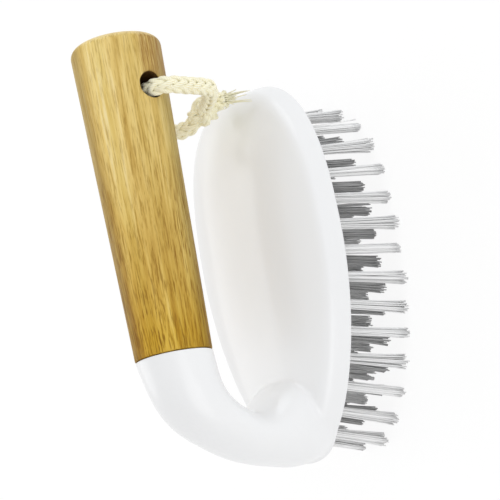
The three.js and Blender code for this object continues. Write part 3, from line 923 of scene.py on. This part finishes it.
def cut_loop(bm, geom, **plane):
    """Cuts off one side of a plane, and returns the open edge there as vertices in order."""
    bmesh.ops.bisect_plane(bm, geom=geom, dist=1e-7, **plane)
    follow = {}
    for e in bm.edges:
        if e.is_boundary:
            for v in e.verts:
                follow.setdefault(v, []).append(e.other_vert(v))
    start = next(iter(follow))
    loop, last = [start], None
    while True:
        step = [v for v in follow[loop[-1]] if v is not last]
        last = loop[-1]
        if step[0] is start:
            return loop
        loop.append(step[0])


def rings_from(bm, loop, places):
    """Carries an open loop on through rings of places, and fills the last one."""
    for ring in places:
        fresh = [bm.verts.new(p) for p in ring]
        for i in range(len(loop)):
            j = (i + 1) % len(loop)
            bm.faces.new((loop[i], loop[j], fresh[j], fresh[i]))
        loop = fresh
    bm.faces.new(loop)


def ways_in(flat):
    """The way in from each point of a flat closed line, evened out."""
    run = np.roll(flat, -6, 0) - np.roll(flat, 6, 0)
    spin = np.sign(np.sum(flat[:, 0] * np.roll(flat[:, 1], -1) - flat[:, 1] * np.roll(flat[:, 0], -1)))
    inward = unit(np.stack([-run[:, 1], run[:, 0]], 1)) * spin
    for _ in range(8):
        inward = unit(inward + np.roll(inward, 1, 0) + np.roll(inward, -1, 0))
    return inward


def moulded_head(finish):
    mesh = head_skin()
    bm = opened(mesh)
    whole = bm.verts[:] + bm.edges[:] + bm.faces[:]
    cut = (0, 0, (SHIFT[2] + RIM_CUT) * MM)
    loop = cut_loop(bm, whole, plane_co=cut, plane_no=(0, 0, 1), clear_inner=True)
    flat = np.array([v.co[:2] for v in loop])
    inward = ways_in(flat)
    edge = [at_height(flat + inward * inset * MM, (SHIFT[2] + z) * MM) for inset, z in RIM_PROFILE]
    rings_from(bm, loop, edge)

    middle = (JOINT - GRIP_AXIS * JOINT_EDGE) * MM
    high = [v for v in bm.verts if v.co.z > (SHIFT[2] + ARM_ONLY) * MM]
    upper = set(high)
    faces = [f for f in bm.faces if all(v in upper for v in f.verts)]
    sides = {e for f in faces for e in f.edges}
    loop = cut_loop(bm, high + list(sides) + faces, plane_co=middle, plane_no=GRIP_AXIS, clear_outer=True)
    spokes = np.array([v.co for v in loop]) - middle
    around = unit(spokes - np.outer(spokes @ GRIP_AXIS, GRIP_AXIS))
    end = [middle + GRIP_AXIS * step * MM + around * (JOINT_RADIUS - inset) * MM for step, inset in JOINT_PROFILE]
    rings_from(bm, loop, end)
    bmesh.ops.recalc_face_normals(bm, faces=bm.faces)
    put_back(bm, mesh)
    mesh.set_sharp_from_angle(angle=math.radians(50))
    add_piece("head_moulding", mesh, finish, "brush", ["head_shell"])


moulded_head(moulded_white())

# ---- Bamboo grip

GRIP_CHAMFER = 0.5  # at the arm
GRIP_SIDES, HOLE_SIDES = 144, 48
HOLE_EDGE = 0.45  # rounding of the hole's rim


def turned_grip(finish):
    body, taper = GRIP_LENGTH - GRIP_END_ROUND, GRIP_END_RADIUS - JOINT_RADIUS
    profile = [(0.0, 4.0), (0.0, GRIP_CHAMFER), (0.15, 0.15), (GRIP_CHAMFER, 0.0)]  # along, and inset
    profile = [(x, JOINT_RADIUS - inset) for x, inset in profile]
    for x in np.linspace(GRIP_CHAMFER, body, 110)[1:-1]:
        profile.append((x, JOINT_RADIUS + taper * (x - GRIP_CHAMFER) / (body - GRIP_CHAMFER)))
    for q in np.linspace(0, np.pi / 2, 12):
        along, inset = GRIP_END_ROUND * math.sin(q), GRIP_END_ROUND * (1 - math.cos(q))
        profile.append((body + along, GRIP_END_RADIUS - inset))
    profile += [(GRIP_LENGTH, GRIP_END_RADIUS * share) for share in (0.6, 0.35, 0.1)]
    turn = full_turn(GRIP_SIDES)
    up = np.array([-GRIP_AXIS[2], 0.0, GRIP_AXIS[0]])
    spokes = np.outer(np.cos(turn), (0, 1, 0)) + np.outer(np.sin(turn), up)
    verts, faces = skin([JOINT + GRIP_AXIS * (SEAT + x) + spokes * r for x, r in profile])
    rod = rough_object("grip_rough", mesh_of("grip_rough", verts * MM, faces))

    turn = full_turn(HOLE_SIDES)
    ring = np.stack([HOLE_RADIUS * np.cos(turn), np.zeros(HOLE_SIDES), HOLE_RADIUS * np.sin(turn)], 1)
    reach = GRIP_END_RADIUS + 4
    verts, faces = skin([ring + (0, y, 0) for y in np.linspace(-reach, reach, 25)])
    drill = rough_object("hole_drill", mesh_of("hole_drill", (verts + HOLE) * MM, faces))
    cut = rod.modifiers.new("rope_hole", "BOOLEAN")
    cut.operation, cut.solver, cut.object = "DIFFERENCE", "EXACT", drill
    mesh = settled_mesh(rod)
    bpy.data.objects.remove(drill)

    bm = opened(mesh)
    bmesh.ops.remove_doubles(bm, verts=bm.verts, dist=2e-6)
    rim = []
    for e in bm.edges:
        place = np.array((e.verts[0].co + e.verts[1].co) / 2) / MM - HOLE
        if e.is_manifold and e.calc_face_angle() > 0.6 and math.hypot(place[0], place[2]) < HOLE_RADIUS + 0.3:
            rim.append(e)
    bmesh.ops.bevel(bm, geom=rim, offset=HOLE_EDGE * MM, segments=3, profile=0.5, affect="EDGES")
    put_back(bm, mesh)
    mesh.set_sharp_from_angle(angle=math.radians(40))
    add_piece("bamboo_grip_turned", mesh, finish, "brush", ["bamboo_grip"])


turned_grip(varnished_bamboo())

# ---- Tuft plate and bristles

PLATE_FACE, PLATE_BACK = SEAT, 5.7  # heights of the plate's lower face and back above the rim
SOCKET_RADIUS, SOCKET_LIP = TUFT_RADIUS + 0.35, 0.28
ROOT_HEIGHT = 1.6  # where the filaments begin, above the rim
FILAMENTS, FILAMENT_RADIUS = 42, 0.22  # in a tuft
FILAMENT_STRAY = 0.3
FILAMENT_BOW = 1.8  # a filament bends more towards its tip
WILD_RARE, WILD_STRAY = 24.0, 5.0  # only a few filaments stray far, up to this many times more
UNEVEN_TRIM = 0.7
INNER_FAN = 0.4  # the inner rows stand straighter by this share


def ring_row(number):
    """Tufts at even steps along a closed row."""
    inset = number * ROW_PITCH
    angles = np.arange(721) * 2 * np.pi / 720
    fine = outline(angles, TUFT_EDGE + inset, TUFT_TIP_EDGE + inset)
    reach = reaches(fine)
    count = 2 * round(reach[-1] / (TUFT_PITCH if number else OUTER_PITCH) / 2)
    want = (np.arange(count) + (0.5 if number + 2 < TUFT_ROWS else 0)) * reach[-1] / count
    return at_reaches(fine, reach, want) + (TUFT_FORWARD, 0.0)


def middle_row(number):
    low = TUFT_EDGE + number * ROW_PITCH - HEEL_REACH + TUFT_FORWARD
    high = TIP_REACH - TUFT_TIP_EDGE - number * ROW_PITCH + TUFT_FORWARD
    count = round((high - low) / TUFT_PITCH) + 1
    return np.stack([np.linspace(low, high, count), np.zeros(count)], 1)


tuft_rows = [ring_row(n) if n + 1 < TUFT_ROWS else middle_row(n) for n in range(TUFT_ROWS)]


def grown(points, attributes, tree, values):
    """The mesh that a tree makes of points with attributes. values are set by each input's name."""
    mesh = bpy.data.meshes.new("seed_points")
    mesh.from_pydata(points.tolist(), [], [])
    for label, numbers in attributes.items():
        kind, field = ("FLOAT_VECTOR", "vector") if numbers.ndim == 2 else ("FLOAT", "value")
        layer = mesh.attributes.new(label, kind, "POINT")
        layer.data.foreach_set(field, numbers.astype(np.float32).ravel())
    obj = rough_object("seed_points", mesh)
    grow = obj.modifiers.new("grow", "NODES")
    grow.node_group = tree
    for item in tree.interface.items_tree:
        if item.in_out == "INPUT" and item.name in values:
            grow[item.identifier] = values[item.name]
    return settled_mesh(obj)


def tuft_tree():
    """Filaments in round tufts. Each leaves the plate inside its tuft, leans and opens with it, strays a little
    of its own, and is trimmed level at the foot."""
    lengths = dict.fromkeys(("Tuft radius", "Filament radius", "Reach", "Stray"), "Float")
    g = Growth("filament_tufts", {"Filaments": "Int", **lengths, "Seed": "Int", "Finish": "Material"})
    given, maths, plus, times = g.given, g.maths, g.plus, g.times

    def chance(low, high, seed):
        made = g.node("FunctionNodeRandomValue", {"Seed": plus(given["Seed"], seed)}, data_type="FLOAT")
        for socket, value in zip([s for s in made.inputs if s.enabled], (low, high)):
            socket.default_value = value
        return next(s for s in made.outputs if s.enabled)

    roots = g.make("GeometryNodeMeshToPoints", {"Mesh": given["Geometry"]})
    inputs = {"Geometry": roots, "Amount": given["Filaments"]}
    many = g.node("GeometryNodeDuplicateElements", inputs, domain="POINT").outputs
    number = many["Duplicate Index"]
    share = maths("SQRT", maths("DIVIDE", plus(number, 0.5), given["Filaments"]))
    turn = plus(times(number, GOLDEN_TURN), chance(-0.5, 0.5, 1.0))
    spot = g.xyz(times(maths("COSINE", turn), share), times(maths("SINE", turn), share), 0.0)
    wild = g.xyz(chance(-1, 1, 2.0), chance(-1, 1, 3.0), chance(0, 1, 4.0))
    points = g.stored(many["Geometry"], "spot", "FLOAT_VECTOR", spot)
    points = g.stored(points, "wild", "FLOAT_VECTOR", wild)
    points = g.stored(points, "shade", "FLOAT", chance(0, 1, 5.0))
    points = g.moved(points, g.scaled(g.named("spot", "FLOAT_VECTOR"), given["Tuft radius"]))

    size = {"Radius": given["Filament radius"], "Depth": given["Reach"]}
    cuts = {"Vertices": 5, "Side Segments": 6, "Fill Segments": 1}
    rod = g.make("GeometryNodeMeshCylinder", {**cuts, **size}, fill_type="TRIANGLE_FAN")
    height = g.parts(g.make("GeometryNodeInputPosition"))["Z"]
    rod = g.stored(rod, "along", "FLOAT", g.minus(0.5, maths("DIVIDE", height, given["Reach"])))
    rod = g.moved(rod, g.xyz(0.0, 0.0, times(given["Reach"], -0.5)))
    tufts = g.set_on(points, rod)

    along = g.named("along")
    bow = maths("POWER", along, FILAMENT_BOW)
    lean = g.scaled(g.named("lean", "FLOAT_VECTOR"), along)
    opening = times(times(g.named("open"), given["Tuft radius"]), bow)
    opened_out = g.scaled(g.named("spot", "FLOAT_VECTOR"), opening)
    own = g.parts(g.named("wild", "FLOAT_VECTOR"))
    loose = plus(1.0, times(maths("POWER", own["Z"], WILD_RARE), WILD_STRAY))
    sway = times(times(given["Stray"], loose), bow)
    short = times(times(own["Z"], along), UNEVEN_TRIM * MM)
    strayed = g.xyz(times(own["X"], sway), times(own["Y"], sway), short)
    return g.ended(g.moved(tufts, g.added(g.added(lean, opened_out), strayed)))


def socket_tree():
    """A moulded lip round each tuft's hole."""
    g = Growth("tuft_sockets", {"Socket radius": "Float", "Lip": "Float", "Finish": "Material"})
    ring, lip = (
        g.make("GeometryNodeCurvePrimitiveCircle", {"Resolution": sides, "Radius": g.given[radius]}, mode="RADIUS")
        for sides, radius in ((18, "Socket radius"), (6, "Lip"))
    )
    bead = g.make("GeometryNodeCurveToMesh", {"Curve": ring, "Profile Curve": lip})
    return g.ended(g.set_on(g.given["Geometry"], bead))


def tuft_plate(finish):
    angles, inset = even_angles(320), RIM_WALL + SEAT
    edge = [(0.5, 0.0), (0.15, 0.12), (0.0, 0.45), (0.0, PLATE_BACK - PLATE_FACE)]  # inset, and height over the face
    rings = [at_height(outline(angles, inset) * share, PLATE_FACE) for share in (0.2, 0.5, 0.8)]
    rings += [at_height(outline(angles, inset + more), PLATE_FACE + z) for more, z in edge]
    verts, faces = skin(rings)
    mesh = mesh_of("tuft_plate_face", in_place(verts), faces)
    mesh.set_sharp_from_angle(angle=math.radians(50))
    add_piece("tuft_plate_face", mesh, finish, "brush", ["tuft_plate"])
    spots = in_place(at_height(np.concatenate(tuft_rows), PLATE_FACE))
    values = {"Socket radius": SOCKET_RADIUS * MM, "Lip": SOCKET_LIP * MM, "Finish": finish}
    add_piece("tuft_sockets", grown(spots, {}, socket_tree(), values), finish, "brush")


def bristles(main_finish, painted_shade_finish):
    tree = tuft_tree()
    names = ["bristles_outer", "bristles_second", "bristles_third", "bristles_middle"]
    for number, (name, row) in enumerate(zip(names, tuft_rows)):
        fan = FAN_CROSSWISE if number == 0 else INNER_FAN * FAN_CROSSWISE
        seed = np.arange(len(row)) + 1 + 31 * number  # no two tufts stand quite alike
        lengthwise = row[:, 0] * FAN_LENGTHWISE + 0.5 * np.sin(seed * 1.7)
        crosswise = row[:, 1] * fan + 0.4 * np.sin(seed * 3.1)
        lean = at_height(np.stack([lengthwise, crosswise], 1), 0.0)
        opening = SPLAY * (1 + 0.25 * np.sin(seed * 2.4)) - 1
        # the second row takes the grey finish, which is painted shade
        finish = painted_shade_finish if number == 1 else main_finish
        values = {
            "Filaments": FILAMENTS,
            "Tuft radius": (TUFT_RADIUS - 0.15) * MM,
            "Filament radius": FILAMENT_RADIUS * MM,
            "Reach": (TRIM + ROOT_HEIGHT) * MM,
            "Stray": FILAMENT_STRAY * MM,
            "Seed": 7 + number,
            "Finish": finish,
        }
        roots = in_place(at_height(row, ROOT_HEIGHT))
        mesh = grown(roots, {"lean": lean * MM, "open": opening}, tree, values)
        add_piece(name + "_filaments", mesh, finish, "brush", [name])


tuft_plate(plate_white())
bristles(
    filament("white_filament", root=(0.91, 0.91, 0.91), tip=(0.98, 0.98, 0.98)),
    # painted shade: grey for the second row, darker towards the root, where white filaments stand in shade
    filament("grey_filament", root=(0.30, 0.30, 0.30), tip=(0.58, 0.58, 0.58)),
)

# ---- Floor and light

FLOOR_REACH = 4.0  # metres
FLOOR_WHITE, FLOOR_GLOW = (0.96, 0.96, 0.96), 1.02
FLOOR_SHOWN = 0.88  # share of the glow where the floor is seen; the rest is lit, and keeps the shadow
WALL_LIGHT, WALL_SEEN = 0.74, 1.0


def seen_directly(nodes):
    """One for a ray that shows the background itself, to the camera or in a reflection."""
    rays = nodes.node("ShaderNodeLightPath").outputs
    seen = rays["Is Camera Ray"]
    for other in ("Is Glossy Ray", "Is Transmission Ray"):
        seen = nodes.maths("MAXIMUM", seen, rays[other])
    return seen


def pale_floor():
    corners = [(x * FLOOR_REACH, y * FLOOR_REACH, 0) for x, y in ((-1, -1), (1, -1), (1, 1), (-1, 1))]
    mesh = mesh_of("floor", corners, [(0, 1, 2, 3)], outward=False)
    material = bpy.data.materials.new("pale_floor")
    material.use_nodes = True
    nodes = Nodes(material.node_tree)
    nodes.tree.nodes.clear()
    matt = nodes.node("ShaderNodeBsdfDiffuse", {"Color": rgba(FLOOR_WHITE)}).outputs[0]
    glow = nodes.node("ShaderNodeEmission", {"Strength": FLOOR_GLOW}).outputs[0]
    part = nodes.times(seen_directly(nodes), FLOOR_SHOWN)
    shown = nodes.node("ShaderNodeMixShader", {"Fac": part, 1: matt, 2: glow}).outputs[0]
    nodes.node("ShaderNodeOutputMaterial", {"Surface": shown})
    mesh.materials.append(material)
    floor = rough_object("floor", mesh)


def studio_walls():
    """Even light from all round, brighter where it is seen."""
    world = bpy.data.worlds.new("studio")
    world.use_nodes = True
    nodes = Nodes(world.node_tree)
    background = nodes.tree.nodes["Background"].inputs
    nodes.put(background["Color"], rgba((1.0, 1.0, 1.0)))
    nodes.put(background["Strength"], nodes.levels(seen_directly(nodes), WALL_LIGHT, WALL_SEEN))
    bpy.context.scene.world = world


def soft_lamp(name, place, aim, size, watts, tint=(1.0, 1.0, 1.0)):
    data = bpy.data.lights.new(name, "AREA")
    data.shape, data.size, data.energy, data.color = "DISK", size, watts, tint
    lamp = rough_object(name, data)
    lamp.location = place
    lamp.rotation_euler = (Vector(aim) - Vector(place)).to_track_quat("-Z", "Y").to_euler()


pale_floor()
soft_lamp("window_behind", (0.15, 0.9, 0.65), (0, 0, 0.05), 1.1, 3.5)
soft_lamp("fill_in_front", (-0.5, -0.78, 0.3), (0, 0, 0.03), 0.8, 1.9)
soft_lamp("fill_at_tip", (0.9, -0.4, 0.48), (0, 0, 0.05), 0.8, 2.3, tint=(0.90, 0.95, 1.0))  # cool, as wood glows warm
studio_walls()
bpy.context.scene.view_settings.view_transform = "Standard"
